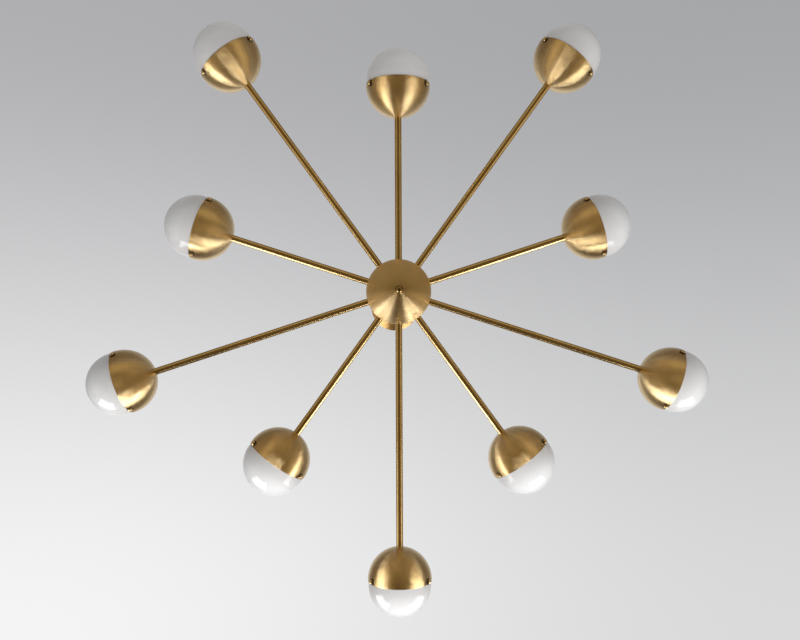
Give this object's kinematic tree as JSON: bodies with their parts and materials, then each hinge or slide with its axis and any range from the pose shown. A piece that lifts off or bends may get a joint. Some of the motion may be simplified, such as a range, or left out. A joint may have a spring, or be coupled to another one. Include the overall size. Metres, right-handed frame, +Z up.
{
  "type": "sputnik chandelier",
  "caption": "Ceiling light whose straight arms, long and short in turn, leave a ball hub in one level plane and end in spun brass cups holding opal glass globes.",
  "frame": {"origin": "centre of the ceiling plate's upper face, where it meets the ceiling", "axes": "+Z up into the ceiling, +Y along the first long arm"},
  "size_m": [1.1612, 1.11, 0.7993],
  "materials": {
    "satin_brass": "spun and brushed, satin lacquer",
    "polished_brass": "polished",
    "cast_brass": "turned",
    "zinc_steel": "zinc plated",
    "opal_glass": "glossy opal white",
    "clear_glass": "clear",
    "ceramic": null,
    "white_plastic": "moulded",
    "wire_sleeve": "woven heat sleeve"
  },
  "bodies": {
    "ceiling_plate": {"crossbar": "zinc_steel", "canopy": "satin_brass", "canopy_nipple": "zinc_steel", "locknut": "zinc_steel", "canopy_ring": "polished_brass"},
    "swivel": {"swivel_cap": "satin_brass", "swivel_yoke": "satin_brass", "swivel_pin": "polished_brass"},
    "fixture": {"stem_eye": "satin_brass", "stem": "satin_brass", "hub_core": "cast_brass", "hub_upper_shell": "satin_brass", "hub_lower_shell": "satin_brass", "finial_rod": "zinc_steel", "finial": "polished_brass", "terminal_block": "white_plastic", "lampholders": "ceramic", "shade_screws": "polished_brass", "arm_wires": "wire_sleeve", "arm_01": "satin_brass", "arm_02": "satin_brass", "arm_03": "satin_brass", "arm_04": "satin_brass", "arm_05": "satin_brass", "arm_06": "satin_brass", "arm_07": "satin_brass", "arm_08": "satin_brass", "arm_09": "satin_brass", "arm_10": "satin_brass", "cup_01": "satin_brass", "cup_02": "satin_brass", "cup_03": "satin_brass", "cup_04": "satin_brass", "cup_05": "satin_brass", "cup_06": "satin_brass", "cup_07": "satin_brass", "cup_08": "satin_brass", "cup_09": "satin_brass", "cup_10": "satin_brass"},
    "shade_body_01": {"shade_01": "opal_glass"},
    "bulb_body_01": {"bulb_01": "clear_glass"},
    "shade_body_02": {"shade_02": "opal_glass"},
    "bulb_body_02": {"bulb_02": "clear_glass"},
    "shade_body_03": {"shade_03": "opal_glass"},
    "bulb_body_03": {"bulb_03": "clear_glass"},
    "shade_body_04": {"shade_04": "opal_glass"},
    "bulb_body_04": {"bulb_04": "clear_glass"},
    "shade_body_05": {"shade_05": "opal_glass"},
    "bulb_body_05": {"bulb_05": "clear_glass"},
    "shade_body_06": {"shade_06": "opal_glass"},
    "bulb_body_06": {"bulb_06": "clear_glass"},
    "shade_body_07": {"shade_07": "opal_glass"},
    "bulb_body_07": {"bulb_07": "clear_glass"},
    "shade_body_08": {"shade_08": "opal_glass"},
    "bulb_body_08": {"bulb_08": "clear_glass"},
    "shade_body_09": {"shade_09": "opal_glass"},
    "bulb_body_09": {"bulb_09": "clear_glass"},
    "shade_body_10": {"shade_10": "opal_glass"},
    "bulb_body_10": {"bulb_10": "clear_glass"}
  },
  "joints": [
    {"name": "swivel_turn", "type": "hinge", "parent": "ceiling_plate", "child": "swivel", "pos_m": [0, 0, -0.04795], "axis": [0, 0, 1], "range_deg": [-170, 170]},
    {"name": "swivel_tilt", "type": "hinge", "parent": "swivel", "child": "fixture", "pos_m": [0, 0, -0.04795], "axis": [1, 0, 0], "range_deg": [-45, 45]},
    {"name": "shade_01_draw", "type": "slide", "parent": "fixture", "child": "shade_body_01", "axis": [0, 1, 0], "range_m": [0, 0.05]},
    {"name": "bulb_01_pull", "type": "slide", "parent": "fixture", "child": "bulb_body_01", "axis": [0, 1, 0], "range_m": [0, 0.013]},
    {"name": "shade_02_draw", "type": "slide", "parent": "fixture", "child": "shade_body_02", "axis": [-0.5878, 0.809, 0], "range_m": [0, 0.05]},
    {"name": "bulb_02_pull", "type": "slide", "parent": "fixture", "child": "bulb_body_02", "axis": [-0.5878, 0.809, 0], "range_m": [0, 0.013]},
    {"name": "shade_03_draw", "type": "slide", "parent": "fixture", "child": "shade_body_03", "axis": [-0.9511, 0.309, 0], "range_m": [0, 0.05]},
    {"name": "bulb_03_pull", "type": "slide", "parent": "fixture", "child": "bulb_body_03", "axis": [-0.9511, 0.309, 0], "range_m": [0, 0.013]},
    {"name": "shade_04_draw", "type": "slide", "parent": "fixture", "child": "shade_body_04", "axis": [-0.9511, -0.309, 0], "range_m": [0, 0.05]},
    {"name": "bulb_04_pull", "type": "slide", "parent": "fixture", "child": "bulb_body_04", "axis": [-0.9511, -0.309, 0], "range_m": [0, 0.013]},
    {"name": "shade_05_draw", "type": "slide", "parent": "fixture", "child": "shade_body_05", "axis": [-0.5878, -0.809, 0], "range_m": [0, 0.05]},
    {"name": "bulb_05_pull", "type": "slide", "parent": "fixture", "child": "bulb_body_05", "axis": [-0.5878, -0.809, 0], "range_m": [0, 0.013]},
    {"name": "shade_06_draw", "type": "slide", "parent": "fixture", "child": "shade_body_06", "axis": [0, -1, 0], "range_m": [0, 0.05]},
    {"name": "bulb_06_pull", "type": "slide", "parent": "fixture", "child": "bulb_body_06", "axis": [0, -1, 0], "range_m": [0, 0.013]},
    {"name": "shade_07_draw", "type": "slide", "parent": "fixture", "child": "shade_body_07", "axis": [0.5878, -0.809, 0], "range_m": [0, 0.05]},
    {"name": "bulb_07_pull", "type": "slide", "parent": "fixture", "child": "bulb_body_07", "axis": [0.5878, -0.809, 0], "range_m": [0, 0.013]},
    {"name": "shade_08_draw", "type": "slide", "parent": "fixture", "child": "shade_body_08", "axis": [0.9511, -0.309, 0], "range_m": [0, 0.05]},
    {"name": "bulb_08_pull", "type": "slide", "parent": "fixture", "child": "bulb_body_08", "axis": [0.9511, -0.309, 0], "range_m": [0, 0.013]},
    {"name": "shade_09_draw", "type": "slide", "parent": "fixture", "child": "shade_body_09", "axis": [0.9511, 0.309, 0], "range_m": [0, 0.05]},
    {"name": "bulb_09_pull", "type": "slide", "parent": "fixture", "child": "bulb_body_09", "axis": [0.9511, 0.309, 0], "range_m": [0, 0.013]},
    {"name": "shade_10_draw", "type": "slide", "parent": "fixture", "child": "shade_body_10", "axis": [0.5878, 0.809, 0], "range_m": [0, 0.05]},
    {"name": "bulb_10_pull", "type": "slide", "parent": "fixture", "child": "bulb_body_10", "axis": [0.5878, 0.809, 0], "range_m": [0, 0.013]}
  ]
}
